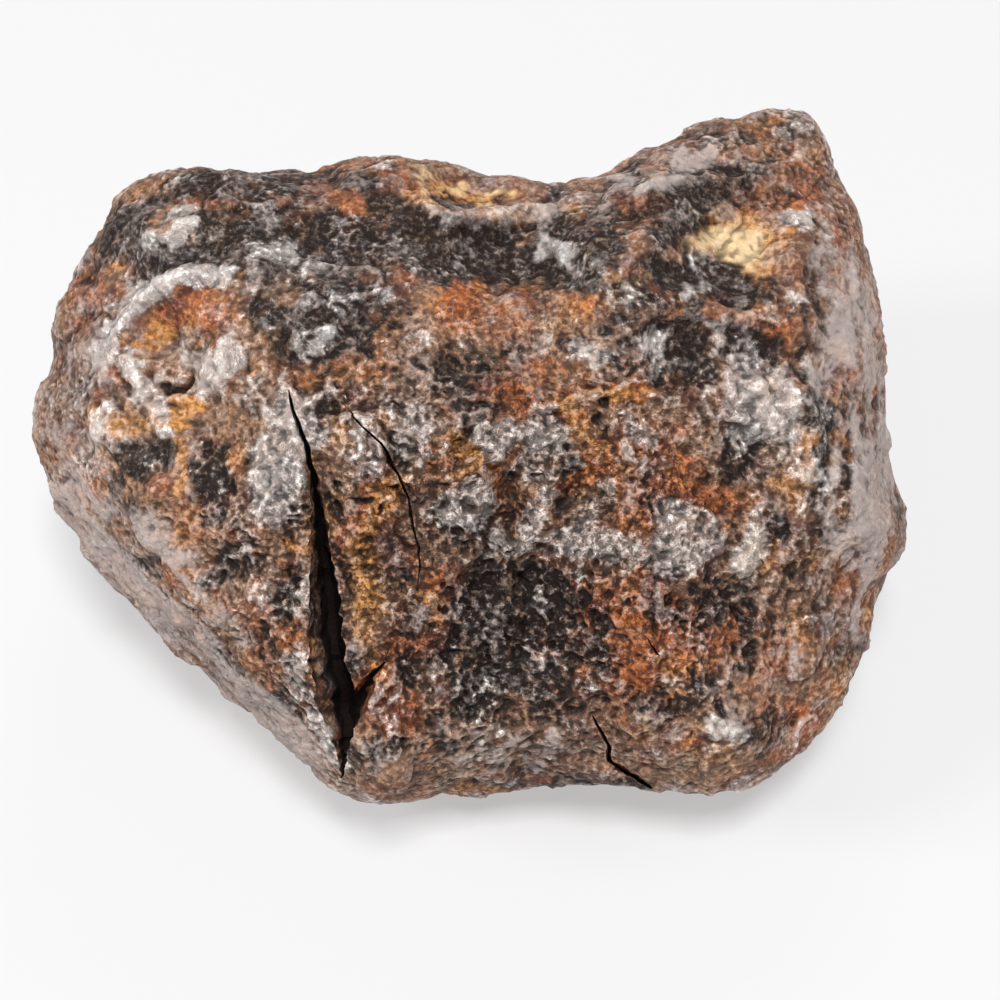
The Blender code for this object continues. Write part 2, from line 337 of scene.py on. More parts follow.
height = np.zeros(len(hide))
for run, half, high in RIDGES.values():
    gap, share = along(ragged_across, ragged_up, run)
    start = ease(RIDGE_TAPER * share)
    end = ease(RIDGE_TAPER - RIDGE_TAPER * share)
    height += shown * high * ease(1 - gap / half) * start * end
for *place, high in BOSSES.values():
    height += shown * high * patch(ragged_across, ragged_up, *place)
for seed, (wavelength, high) in enumerate(SWELLS):
    height += high * waves(hide, wavelength, seed)
for seed, (wavelength, high) in enumerate(CRESTS, 4):
    sharp = np.clip(1 - CREST_SHARPNESS * np.abs(waves(hide, wavelength, seed)), 0, 1)
    height += high * crusty * (sharp - MEAN_RISE)
for seed, (width, high) in enumerate(FLAKES, 10):
    _, border, lot = stones(hide, width, seed)
    height += high * crusty * (lot - 0.5) * ease(border / FLAKE_BEVEL)
height += SCAB_RISE * ease((waves(hide, SCAB_SPACING, 14) - SCAB_START) / SCAB_BEVEL)
gap, _, lot = stones(hide, PIT_SPACING, 15)
height -= PIT_DEPTH * crusty * ease(1 - gap / PIT_REACH) * (lot > UNPITTED)
for seed, (*place, width, high) in enumerate(BEADS, 16):
    gap, _, lot = stones(hide, width, seed)
    cluster = shown * patch(ragged_across, ragged_up, *place)
    bead = np.sqrt(np.clip(1 - (gap / BEAD_REACH) ** 2, 0, 1)) * (0.4 + 0.6 * lot)
    height += cluster * high * (bead - MEAN_RISE)

moved = hide + outward * (height - SINK)[:, None] * MM
moved[:, 2] = np.maximum(moved[:, 2], 0)
for vert, place in zip(shape.verts, moved):
    vert.co = place
shape.normal_update()


# The cracks are splits that rust has opened in the face. The wide one on the left runs from the
# middle of the face down to its near edge, with a notch at its side. The others are hairlines.
# Each has a run of stations: across and up the sheet, half width, depth, and how far it leans over
# to the right within LEAN_DEPTH of the surface, all in mm.
CRACKS = {
    "wide_crack": (
        (-12.2, 6.3, 0.03, 0.8, 0.0),
        (-12.0, 5.8, 0.08, 1.6, 0.0),
        (-11.4, 4.0, 0.14, 2.6, 0.0),
        (-10.9, 2.6, 0.16, 3.2, 0.0),
        (-10.5, -0.3, 0.34, 4.0, 0.0),
        (-10.3, -2.6, 0.50, 4.6, 0.1),
        (-10.1, -5.2, 0.80, 5.0, 0.3),
        (-10.1, -7.8, 0.86, 5.0, 0.5),
        (-9.9, -9.5, 0.92, 5.0, 0.6),
        (-9.6, -11.4, 0.96, 5.0, 0.7),
        (-9.2, -13.6, 0.72, 4.0, 0.5),
        (-9.1, -15.0, 0.25, 2.6, 0.2),
        (-9.1, -16.0, 0.05, 1.0, 0.0),
    ),
    "side_notch": (
        (-6.6, -9.3, 0.06, 0.5, 0.0),
        (-7.2, -9.9, 0.30, 1.2, 0.0),
        (-7.8, -10.8, 0.52, 2.2, 0.0),
        (-8.3, -12.0, 0.66, 3.0, 0.0),
        (-9.0, -13.4, 0.40, 2.6, 0.0),
    ),
    "middle_hairline": (
        (-9.0, 5.5, 0.03, 0.4, 0.0),
        (-8.3, 4.7, 0.07, 0.9, 0.0),
        (-7.4, 3.8, 0.09, 1.2, 0.0),
        (-6.6, 2.8, 0.11, 1.4, 0.0),
        (-6.3, 2.2, 0.20, 1.4, 0.0),
        (-5.8, 1.4, 0.10, 1.4, 0.0),
        (-5.3, 0.0, 0.07, 1.2, 0.0),
        (-5.0, -1.6, 0.09, 1.2, 0.0),
        (-4.7, -2.8, 0.07, 1.0, 0.0),
        (-4.6, -3.9, 0.06, 0.8, 0.0),
        (-4.8, -5.2, 0.03, 0.4, 0.0),
    ),
    "near_hairline": (
        (5.3, -12.4, 0.04, 0.6, 0.0),
        (5.8, -13.1, 0.12, 1.2, 0.0),
        (6.2, -13.9, 0.14, 1.6, 0.0),
        (6.3, -15.0, 0.16, 2.0, 0.0),
        (6.9, -15.5, 0.36, 1.6, 0.0),
        (7.9, -16.0, 0.26, 1.4, 0.0),
        (8.8, -16.6, 0.10, 1.0, 0.0),
    ),
    "right_hairline": (
        (8.4, -8.0, 0.03, 0.4, 0.0),
        (9.1, -8.9, 0.08, 0.9, 0.0),
        (10.4, -9.2, 0.10, 1.0, 0.0),
        (11.8, -9.4, 0.03, 0.4, 0.0),
    ),
}
LEAN_DEPTH = 1.3  # mm
STEPS_PER_STATION = 6
CLOSING = 0.7  # how much narrower a crack is at its bottom than at its mouth
LEAST_OPEN = 0.2  # the share of its half width that a crack always keeps
SLIM = 0.3  # half width in mm below which the lips chip less
BLADE_RISE = 1.5
BLADE_LEVELS = (-BLADE_RISE, -0.6, 0.0, 0.25, 0.5, 0.8, 1.3, 2.0, 3.0, 4.0, 5.0)  # mm deep
# How a crack's path wanders and its lips are chipped: wavelength and reach in mm.
WANDER = ((1.3, 0.16), (0.5, 0.07))
CHIPS = ((0.6, 0.20), (0.28, 0.12))


def from_sheet(across, up):
    """The line of sight through a place on the sheet."""
    place = AIM + Vector((across * MM, 0, 0)) + sheet_up * (up * MM)
    return (place - eye).normalized()


def blade(name, run, skin_tree):
    """A closed, ragged blade along a crack's run, which cuts the crack out of the skin."""
    run = np.array(run)
    steps = np.linspace(0, len(run) - 1, STEPS_PER_STATION * (len(run) - 1) + 1)
    stations = np.stack([np.interp(steps, range(len(run)), column) for column in run.T], 1)
    mesh = bmesh.new()
    loops = []
    for x, y, half, depth, lean in stations:
        ray = from_sheet(x, y)
        hit = skin_tree.ray_cast(eye, ray)[0]
        slim = min(1, half / SLIM)
        path = sum(noise.noise(hit / (wave * MM)) * high for wave, high in WANDER)
        levels = [level for level in BLADE_LEVELS if level < depth - 0.15] + [depth]
        sides = {}
        for side in (-1, 1):
            sides[side] = []
            for level in levels:
                below = max(level, 0)
                place = hit + ray * (level * MM)
                chip = sum(noise.noise(place / (w * MM) + Vector((side, 0, 0))) * h for w, h in CHIPS)
                open_half = half * (1 - CLOSING * below / depth) + slim * chip
                width = max(open_half, LEAST_OPEN * half)
                sideways = path + lean * min(below / LEAN_DEPTH, 1) + side * width
                sides[side].append(mesh.verts.new(place + Vector((sideways * MM, 0, 0))))
        loops.append((sides[-1], sides[1]))
    count = len(BLADE_LEVELS) + 1
    rings = []
    for left, right in loops:
        left = left + [left[-1]] * (count - len(left))
        right = right + [right[-1]] * (count - len(right))
        rings.append(left + right[::-1])
    for one, other in zip(rings, rings[1:]):
        for k in range(len(one)):
            corners = []
            for vert in (one[k], one[k - 1], other[k - 1], other[k]):
                if vert not in corners:
                    corners.append(vert)
            if len(corners) > 2:
                mesh.faces.new(corners)
    for ring in (rings[0], rings[-1][::-1]):
        mesh.faces.new(list(dict.fromkeys(ring)))
    bmesh.ops.recalc_face_normals(mesh, faces=mesh.faces)
    data = bpy.data.meshes.new(name)
    mesh.to_mesh(data)
    mesh.free()
    return bpy.data.objects.new(name, data)


skin_tree = BVHTree.FromBMesh(shape)
shape.to_mesh(skin_mesh)
shape.free()
skin.data = skin_mesh
for name, run in CRACKS.items():
    cutter = blade(name, run, skin_tree)
    bpy.context.scene.collection.objects.link(cutter)
    cut = skin.modifiers.new(name, "BOOLEAN")
    cut.operation = "DIFFERENCE"
    cut.object = cutter
    skin_mesh = evaluated_copy(skin)
    skin.modifiers.clear()
    skin.data = skin_mesh
    bpy.data.objects.remove(cutter)


# The colours come from the rust itself, with some painted light. Brown oxide is mottled with black
# magnetite, orange and ochre rust and pale dust, and bare iron shines where the crust is rubbed.
# The dust also stands for a painted sheen on the flanks, and the black also paints the shadow
# under the near edge. Each finish has its places on the face: middle across and up, half width
# and half height, turn, and how much of it shows there.
STAINS = {
    "black": (
        (-1.3, 14.3, 5.0, 2.0, -4, 1.15),
        (3.2, 13.4, 2.4, 1.6, -8, 1.0),
        (-5.6, 13.8, 2.4, 1.6, 0, 0.45),
        (12.0, 12.8, 4.0, 1.1, -8, 1.0),
        (9.6, 11.2, 2.6, 0.9, 0, 0.3),
        (10.1, 8.8, 1.9, 1.0, 38, 0.95),
        (8.8, 9.6, 1.0, 0.9, 0, 0.7),
        (9.1, 7.2, 0.6, 1.2, 10, 0.7),
        (-10.5, 10.5, 2.4, 2.1, 15, 0.95),
        (-14.6, 13.4, 3.4, 1.4, 8, 0.6),
        (-18.1, 14.3, 2.2, 1.2, 20, 0.7),
        (-20.4, 13.0, 1.4, 1.8, 50, 0.55),
        (-15.0, 16.4, 2.6, 1.0, 0, 0.4),
        (-20.5, 2.6, 1.5, 1.1, 0, 0.75),
        (-16.8, 1.2, 1.3, 2.2, 0, 0.7),
        (-15.8, -3.8, 1.5, 1.2, 0, 0.65),
        (-12.3, -5.4, 0.8, 1.7, 0, 0.75),
        (-2.4, -1.7, 1.1, 1.1, 0, 0.8),
        (-0.9, -4.5, 1.0, 1.2, 0, 0.85),
        (1.7, -4.7, 0.8, 1.3, 0, 0.85),
        (0.7, -6.6, 3.8, 2.6, 0, 0.85),
        (-0.6, -10.4, 2.6, 2.4, 0, 0.65),
        (-5.2, -10.0, 0.8, 1.8, 8, 0.55),
        (13.8, 3.0, 1.3, 3.2, 0, 0.55),
        (6.4, 8.6, 1.4, 1.2, 0, 0.35),
        (-3.6, 8.0, 3.0, 1.4, 12, 0.3),
        (-5.4, 10.4, 2.0, 1.0, 10, 0.3),
        (-9.4, 6.2, 2.0, 0.8, 0, 0.2),
        (-6.2, 5.6, 1.6, 1.2, 0, 0.2),
        (18.2, 3.6, 0.5, 5.0, 0, 0.6),
        (17.8, 11.0, 0.5, 4.0, 0, 0.5),
        (-19.6, -3.4, 2.0, 1.2, -40, 0.3),
        (12.0, -6.2, 0.8, 0.8, 0, 0.5),
        (-9.0, 13.0, 3.6, 1.4, 8, 0.3),
        (-14.6, 14.5, 3.6, 2.2, 8, 0.9),
        (-7.0, 11.4, 2.2, 0.9, 0, 0.45),
        (6.6, 12.0, 2.6, 1.0, -10, 0.35),
        (-13.6, 10.8, 1.6, 1.4, 0, 0.4),
        (-21.6, 0.6, 1.4, 1.2, -30, 0.5),
        (-12.6, -11.8, 0.8, 1.6, 40, 0.5),
        (2.6, -10.2, 2.4, 1.8, 0, 0.6),
        (-3.0, -8.0, 1.0, 2.0, 0, 0.45),
        (16.0, -1.4, 0.9, 1.2, 0, 0.6),
        # Painted shadow: these two rows lay near-black along the near bottom edge, where the underside
        # hangs over the table.
        (-1.0, -17.2, 3.6, 0.4, 3, 1.3),
        (5.4, -17.1, 4.0, 0.7, 0, 1.4),
        (-5.6, 2.6, 1.0, 2.0, 20, 0.4),
        (0.6, 1.0, 0.8, 0.7, 0, 0.5),
        (3.8, 1.8, 1.4, 0.5, 20, 0.6),
        (-13.4, 16.6, 3.6, 1.0, 6, 0.5),
        (-0.4, 9.2, 2.2, 1.2, 0, 0.3),
        (4.2, 15.0, 3.2, 2.0, 0, 0.95),
        (14.6, 11.0, 2.2, 0.8, 0, 0.35),
        (-9.2, -8.6, 0.7, 3.4, 0, 0.6),
        (-3.4, -12.6, 1.0, 1.6, 0, 0.4),
        (-15.0, 17.6, 5.0, 0.8, 6, 0.45),
        (12.6, 21.2, 3.4, 0.8, 16, 0.4),
        (-7.8, -9.6, 1.0, 1.4, -40, 0.6),
        (12.0, -5.8, 2.6, 1.4, 0, 0.35),
        (9.6, -11.4, 3.4, 1.2, 0, 0.4),
        (5.4, -6.2, 2.2, 1.4, 0, 0.35),
        # These three wide rows darken the whole far band along the top of the face.
        (-9.0, 14.8, 11.0, 2.6, 2, 0.62),
        (11.0, 17.6, 6.0, 2.4, 14, 0.62),
        (-13.0, 18.2, 8.0, 0.9, 4, 0.62),
        (-5.0, 16.6, 5.0, 1.0, 0, 0.5),
        (9.0, 15.4, 1.6, 1.6, 0, 0.5),
        (4.6, -8.2, 2.4, 1.8, 0, 0.5),
        (7.8, 11.0, 1.6, 0.9, 0, 0.4),
        (11.8, 7.6, 0.9, 1.6, -20, 0.85),
        (12.8, 9.6, 1.2, 0.6, 10, 0.5),
        (-21.2, 14.8, 2.0, 1.8, 20, 0.8),
        (-7.6, -14.8, 3.0, 1.3, 0, 0.5),
        (14.4, -14.2, 3.0, 1.4, 24, 0.4),
        (3.2, 12.6, 2.4, 1.0, -10, 0.6),
        (14.0, -7.4, 1.4, 2.2, 0, 0.5),
        (14.2, 9.0, 2.4, 1.2, 0, 0.5),
    ),
    "rust": (
        (-1.6, 11.4, 1.3, 1.2, 0, 1.1),
        (-18.3, 10.7, 1.3, 1.1, 30, 1.1),
        (-23.6, 11.6, 1.1, 1.4, 0, 0.65),
        (-10.8, 17.6, 3.6, 0.9, 0, 0.35),
        (-8.6, 15.2, 2.2, 1.2, 0, 0.35),
        (-11.6, 7.2, 2.2, 1.4, -20, 0.5),
        (-7.6, 8.4, 2.6, 1.6, 0, 0.25),
        (8.2, 16.8, 1.6, 1.6, 0, 0.6),
        (14.6, 17.0, 2.0, 0.9, -20, 0.8),
        (19.9, 13.3, 0.8, 2.2, 0, 0.6),
        (5.0, 5.9, 4.4, 0.8, 12, 0.8),
        (8.4, 2.2, 3.0, 2.4, 0, 0.9),
        (10.4, 0.2, 2.6, 1.8, 0, 0.5),
        (8.7, -3.4, 0.5, 5.4, 0, 0.75),
        (8.6, -8.4, 4.4, 3.4, 0, 0.5),
        (6.2, -6.4, 3.2, 1.6, 0, 0.45),
        (-8.9, -3.4, 0.6, 1.6, 0, 0.8),
        (-7.2, -0.6, 1.5, 2.8, 0, 0.8),
        (-6.6, -11.2, 1.6, 2.7, 0, 1.15),
        (-4.0, -6.2, 0.8, 1.6, 0, 0.85),
        (-5.4, -8.6, 0.8, 0.7, 0, 0.7),
        (-17.6, -0.6, 1.4, 1.4, 0, 0.5),
        (-13.4, -7.6, 1.4, 2.2, 0, 0.4),
        (4.4, 9.4, 2.2, 1.6, 0, 0.15),
        (15.4, 10.0, 2.0, 1.2, 0, 0.45),
        (14.0, -8.4, 2.6, 2.6, 0, 0.4),
        (16.2, -12.4, 2.6, 1.4, 30, 0.55),
        (20.0, 7.4, 0.6, 1.6, 0, 0.5),
        (-12.0, -2.2, 0.8, 0.6, 0, 0.8),
        (6.0, 12.6, 1.4, 1.6, 0, 0.3),
        (-9.0, 17.2, 4.0, 1.0, 0, 0.3),
        (-16.0, 17.6, 3.0, 0.7, 10, 0.25),
        (11.6, 20.4, 4.0, 1.0, 14, 0.3),
        (16.6, 18.6, 1.8, 1.6, 0, 0.25),
        (-5.4, 8.6, 3.0, 1.6, 10, 0.15),
        (2.0, 9.0, 3.4, 1.8, 0, 0.2),
        (-24.4, 0.6, 1.2, 2.2, 30, 0.4),
        (-6.6, -11.8, 1.0, 2.0, 6, 1.3),
        (-8.4, -3.0, 0.4, 1.2, 0, 1.0),
        (9.6, -5.8, 2.6, 1.0, 0, 0.6),
    ),
    "ochre": (
        (-19.0, 8.9, 1.2, 0.8, 20, 1.1),
        (-18.4, 5.7, 1.6, 0.6, 8, 1.2),
        (-20.8, 4.5, 1.2, 0.6, 10, 0.7),
        (-18.5, 2.2, 0.5, 2.8, 0, 0.7),
        (-12.0, -2.2, 0.7, 0.5, 0, 0.8),
        (-6.8, 0.2, 0.9, 1.6, 0, 1.0),
        (-7.6, -4.4, 1.0, 2.2, 0, 0.7),
        (-2.4, 2.6, 0.5, 1.5, -10, 1.0),
        (4.8, 5.9, 3.8, 0.5, 12, 0.75),
        (13.5, 15.2, 2.9, 1.6, -14, 1.0),
        (-3.0, 17.7, 0.9, 0.5, -10, 0.7),
        (-0.6, 17.4, 1.2, 0.5, -5, 0.6),
        (17.3, 2.6, 0.6, 1.5, -10, 0.7),
        (16.2, 1.0, 1.2, 0.5, 30, 0.5),
        (-4.1, -6.2, 0.5, 1.3, 0, 1.1),
        (-9.6, 4.0, 0.4, 1.8, 20, 0.5),
        (-23.0, 3.2, 0.6, 1.8, 20, 0.35),
        (-22.0, 13.4, 0.9, 0.6, 40, 0.45),
        (-12.2, 9.3, 0.3, 0.3, 0, 0.9),
    ),
    "cream": (
        (13.1, 14.8, 2.4, 1.1, -14, 1.0),
        (-3.0, 17.7, 0.9, 0.4, 0, 0.6),
        (-0.6, 17.5, 1.0, 0.5, 0, 0.65),
        (1.6, 17.0, 1.4, 0.5, 8, 0.35),
        (0.5, -4.6, 0.35, 1.4, 0, 0.35),
        (-4.6, 18.6, 0.6, 0.4, 0, 0.5),
        (16.9, 5.6, 0.6, 0.8, 0, 0.5),
        (14.6, -3.2, 0.9, 1.5, -20, 0.5),
    ),
    "silver": (
        (-22.0, 9.2, 0.9, 1.8, -22, 1.1),
        (-20.4, 11.7, 1.4, 0.9, 40, 1.1),
        (-17.6, 13.0, 2.0, 0.7, 14, 1.1),
        (-18.8, 15.8, 1.7, 0.6, 28, 1.1),
        (-21.0, 7.2, 0.8, 1.5, 0, 0.9),
        (-20.0, 6.0, 0.6, 1.3, 20, 0.6),
        (-16.4, 7.8, 1.2, 1.5, -10, 1.0),
        (-19.2, 4.4, 0.7, 0.7, 0, 0.85),
        (-22.9, 4.4, 0.7, 0.7, 0, 0.85),
        (-12.5, 2.6, 1.5, 3.7, -6, 1.0),
        (-11.2, -4.9, 0.4, 1.3, 0, 0.8),
        (-11.5, -9.8, 0.9, 1.8, 20, 0.6),
        (-9.9, -13.4, 0.6, 1.6, 20, 0.7),
        (-8.0, 3.0, 1.4, 1.8, -20, 0.55),
        (-10.0, 9.5, 0.7, 0.5, 0, 0.7),
        (-0.4, 3.6, 1.6, 1.4, 0, 1.0),
        (2.3, 3.8, 1.5, 1.6, 0, 1.0),
        (-2.0, -0.3, 1.7, 1.5, -25, 1.0),
        (0.8, -2.7, 1.6, 0.4, 0, 1.15),
        (5.9, -2.3, 2.4, 1.5, -6, 1.1),
        (10.4, -2.2, 2.3, 1.6, 0, 1.1),
        (14.3, -3.2, 1.2, 2.0, -20, 1.1),
        (14.9, 5.4, 2.4, 3.0, 0, 0.8),
        (14.7, 6.6, 0.8, 0.8, 0, 0.9),
        (16.9, 5.8, 0.9, 0.9, 0, 0.9),
        (17.2, 16.0, 0.7, 0.8, 0, 0.8),
        (17.0, 12.0, 0.8, 0.6, 0, 0.7),
        (3.3, 14.5, 0.8, 0.8, 0, 0.8),
        (11.1, 12.2, 0.9, 0.7, 0, 0.5),
        (4.8, 8.6, 0.9, 0.9, 0, 0.6),
        (17.4, 1.8, 0.8, 0.6, 0, 0.7),
        (12.7, -13.1, 0.9, 0.6, 0, 0.8),
        (-6.6, 19.0, 1.0, 0.5, 0, 0.55),
        (-12.8, 14.6, 1.8, 0.7, 10, 0.4),
        (5.6, 0.4, 0.8, 2.0, -20, 0.35),
        (2.2, -0.6, 0.9, 2.0, 0, 0.4),
        (8.6, 7.6, 0.5, 1.2, 0, 0.45),
        (12.8, 9.8, 1.2, 0.8, 0, 0.35),
        (-14.6, 5.6, 1.0, 1.0, 0, 0.35),
        (4.4, 1.8, 0.8, 0.8, 0, 0.4),
        (8.0, 3.4, 1.2, 0.9, 0, 0.4),
        (-4.4, 9.4, 1.4, 0.8, 0, 0.35),
        (-9.2, -14.6, 0.8, 1.0, 20, 0.5),
        (-4.8, 3.6, 1.9, 1.8, 20, 0.5),
        (1.4, 1.8, 1.6, 0.7, 0, 0.5),
        (8.4, 9.0, 0.9, 0.7, 0, 0.5),
    ),
    "tan": (
        (2.6, 4.6, 7.0, 2.6, 4, 0.45),
        (-2.0, 8.6, 6.0, 2.6, 0, 0.4),
        (-15.0, 4.0, 4.6, 3.4, 0, 0.4),
        (-14.2, 7.4, 2.6, 1.6, -30, 0.5),
        (10.6, 0.4, 4.6, 3.4, 0, 0.4),
        (-7.4, 1.4, 2.0, 3.4, 0, 0.55),
        (-14.2, -6.4, 2.6, 3.6, 30, 0.5),
        (15.4, -5.6, 2.6, 4.4, 0, 0.4),
        (14.0, 15.4, 3.6, 2.8, -14, 0.4),
        (-21.4, 4.0, 2.2, 3.0, 0, 0.4),
        (16.4, 1.8, 1.4, 2.6, -20, 0.5),
        (-3.0, -15.0, 5.0, 1.6, 4, 0.4),
        (10.0, -11.6, 5.0, 2.0, 6, 0.35),
        (-9.0, 7.6, 3.4, 1.8, -10, 0.75),
        (-8.0, -4.6, 1.8, 4.0, 0, 0.85),
        (4.6, 8.6, 4.0, 2.4, 0, 0.35),
        (-4.6, 3.6, 2.6, 2.4, 0, 0.6),
        (5.6, -0.6, 6.0, 2.2, 0, 0.55),
        (-5.2, 6.6, 4.0, 1.8, 10, 0.5),
        (-3.0, 3.4, 8.0, 2.6, 0, 1.0),
        (0.0, 9.2, 7.0, 1.6, 4, 0.6),
        (-9.4, 1.6, 1.4, 3.4, 0, 0.8),
    ),
    "dust_and_sheen": (
        (20.8, 6.0, 2.4, 9.0, 0, 1.0),
        (18.8, 14.8, 0.7, 2.6, 0, 0.6),
        (20.6, -4.0, 2.8, 5.0, 0, 0.9),
        (17.4, -8.0, 2.2, 2.2, 30, 0.4),
        (9.8, 19.2, 3.8, 0.8, 16, 0.9),
        (-2.4, 16.6, 1.8, 0.6, 0, 0.4),
        (2.6, 16.9, 2.2, 0.6, 8, 0.4),
        (0.4, -14.8, 4.2, 1.2, 4, 0.45),
        (-24.8, -0.6, 2.2, 4.8, 25, 0.9),
        (-21.6, -3.0, 3.6, 2.6, -45, 1.1),
        (-18.6, -6.4, 5.6, 1.9, -48, 1.15),
        (-14.0, -12.2, 5.0, 1.7, -46, 1.15),
        (-23.6, 7.4, 1.4, 2.6, 0, 0.3),
        (12.4, -12.6, 5.0, 1.4, 10, 0.25),
        (-23.8, 3.4, 1.4, 2.4, 0, 0.5),
    ),
}
# How much of each finish lies all over the lump, before noise gathers it into blotches.
EVERYWHERE = {
    "black": 0.21,
    "rust": 0.24,
    "ochre": 0.17,
    "cream": 0.0,
    "silver": 0.13,
    "tan": 0.36,
    "dust_and_sheen": 0.08,
}
# Blotch sizes, edge depths in cracks, crest heights and streak widths are in mm.
BROAD_BLOTCH = 6.0
SMALL_BLOTCH = 2.4
BLOTCH_CONTRAST = 2.4
STAIN_SHIFT = ((2.6, 1.1), (0.9, 0.7))
BURIED_FROM = 0.35
BURIED_OVER = 1.5
INSIDE_FROM = 0.05
INSIDE_OVER = 0.25
FACING_ROUNDS = 12
FINE_ROUNDS = 3
FINE_CREST = 0.045
BROAD_ROUNDS = 30
BROAD_CREST = 0.25
STREAK_STRETCH = 0.22
WIDE_STREAK = 1.9
THIN_STREAK = 0.8


def corners(mesh):
    """The places of a mesh's vertices, one row each."""
    flat = np.empty(len(mesh.vertices) * 3)
    mesh.vertices.foreach_get("co", flat)
    return flat.reshape(-1, 3)


def relaxed(points, links, times):
    """The points after each has moved, some times over, to the middle of its neighbours."""
    ends = np.concatenate([links[:, 0], links[:, 1]])
    others = np.concatenate([links[:, 1], links[:, 0]])
    counts = np.maximum(np.bincount(ends, minlength=len(points)), 1)
    for _ in range(times):
        columns = [np.bincount(ends, points[others, axis], len(points)) / counts for axis in range(3)]
        points = 0.5 * points + 0.5 * np.stack(columns, 1)
    return points


def record_on(mesh, name, values):
    """Keeps a number for each vertex on the mesh, for the material to read."""
    kept = mesh.attributes.new(name, "FLOAT", "POINT")
    kept.data.foreach_set("value", np.ascontiguousarray(values, dtype=np.float32))


points = corners(skin_mesh)
links = np.empty(len(skin_mesh.edges) * 2, dtype=np.int32)
skin_mesh.edges.foreach_get("vertices", links)
links = links.reshape(-1, 2)
normals = np.array([vert.normal for vert in skin_mesh.vertices])
across, up = on_sheet(points)
shown = ease((relaxed(normals, links, FACING_ROUNDS) * to_eye(points)).sum(1) / 0.25 + 0.5)
ragged_across, ragged_up = ragged(across, up, points, STAIN_SHIFT, 31)
freshness = WORN_SHARE + (1 - WORN_SHARE) * shown * patch(ragged_across, ragged_up, *MIDDLE_BAND)

# How deep each point lies inside a crack, in mm under the uncut skin.
depth = np.array([skin_tree.find_nearest(Vector(point))[3] for point in points]) / MM
buried = ease((depth - BURIED_FROM) / BURIED_OVER)
inside = ease((depth - INSIDE_FROM) / INSIDE_OVER)

# How far each point stands out from the relief around it, from -1 in a hollow to 1 on a crest.
fine = ((points - relaxed(points, links, FINE_ROUNDS)) * normals).sum(1) / MM
broad = ((points - relaxed(points, links, BROAD_ROUNDS)) * normals).sum(1) / MM
crest = np.clip(fine / FINE_CREST, -1, 1) * 0.5 + np.clip(broad / BROAD_CREST, -1, 1) * 0.5

# Dust and its painted sheen lie in streaks, drawn out down the right flank and slantwise along the left
# one.
deep = (points - np.array(AIM)) @ np.array(look)
rightwards = ease(across / 8 + 0.5)
sidelong = rightwards * across + (1 - rightwards) * (0.70 * across + 0.72 * up)
lengthwise = rightwards * up + (1 - rightwards) * (0.72 * across - 0.70 * up)
drawn = np.stack([sidelong * MM, STREAK_STRETCH * lengthwise * MM, 0.5 * deep], 1)
streaks = waves(drawn, WIDE_STREAK, 61) + 0.7 * waves(drawn, THIN_STREAK, 62)

for seed, (finish, places) in enumerate(STAINS.items(), 40):
    blotches = 0.55 * waves(points, BROAD_BLOTCH, seed)
    blotches = blotches + 0.45 * waves(points, SMALL_BLOTCH, seed + 0.5)
    cover = EVERYWHERE[finish] * (1 + BLOTCH_CONTRAST * blotches)
    painted = np.zeros(len(points))
    for *place, strength in places:
        painted = np.maximum(painted, strength * patch(ragged_across, ragged_up, *place))
    if finish == "dust_and_sheen":
        painted *= np.clip(0.75 + 1.8 * streaks, 0.1, 1.3)
    share = np.clip(cover + shown * painted, 0, 1.2)
    if finish in ("silver", "dust_and_sheen", "cream"):
        share *= 1 - inside
    record_on(skin_mesh, finish, share)
record_on(skin_mesh, "buried", buried)
record_on(skin_mesh, "fresh", freshness)
record_on(skin_mesh, "crest", crest)


class Wire:
    """An output of the material's nodes, so that sums on it read as plain arithmetic."""

    def __init__(self, tree, socket=None):
        self.tree = tree
        self.socket = socket

    def node(self, kind, sockets, output=0, **settings):
        """Adds a node, sets it up, then gives its sockets, by name or number, values or wires."""
        made = self.tree.nodes.new(kind)
        for name, value in settings.items():
            setattr(made, name, value)
        for key, value in sockets.items():
            if isinstance(value, Wire):
                self.tree.links.new(value.socket, made.inputs[key])
            else:
                made.inputs[key].default_value = value
        return Wire(self.tree, made.outputs[output])

    def maths(self, operation, first, second):
        return self.node("ShaderNodeMath", {0: first, 1: second}, operation=operation)

    def __add__(self, other):
        return self.maths("ADD", self, other)

    def __radd__(self, other):
        return self.maths("ADD", other, self)

    def __sub__(self, other):
        return self.maths("SUBTRACT", self, other)

    def __rsub__(self, other):
        return self.maths("SUBTRACT", other, self)

    def __mul__(self, other):
        return self.maths("MULTIPLY", self, other)

    def __rmul__(self, other):
        return self.maths("MULTIPLY", other, self)

    def ease(self, low, high):
        """Goes from 0 to 1, softly, as this wire goes from low to high."""
        sockets = {"Value": self, "From Min": low, "From Max": high}
        return self.node("ShaderNodeMapRange", sockets, interpolation_type="SMOOTHSTEP")

    def blend(self, first, second):
        """The first colour where this wire is 0, and the second where it is 1."""
        # Sockets 6 and 7 are the Mix node's two colours, and its output 2 is the colour between.
        return self.node("ShaderNodeMix", {0: self, 6: first, 7: second}, output=2, data_type="RGBA")


def pigment(red, green, blue):
    """A colour from a paint chart's numbers, which go up to 255."""
    shares = [value / 255 for value in (red, green, blue)]
    return [s / 12.92 if s <= 0.04045 else ((s + 0.055) / 1.055) ** 2.4 for s in shares] + [1]


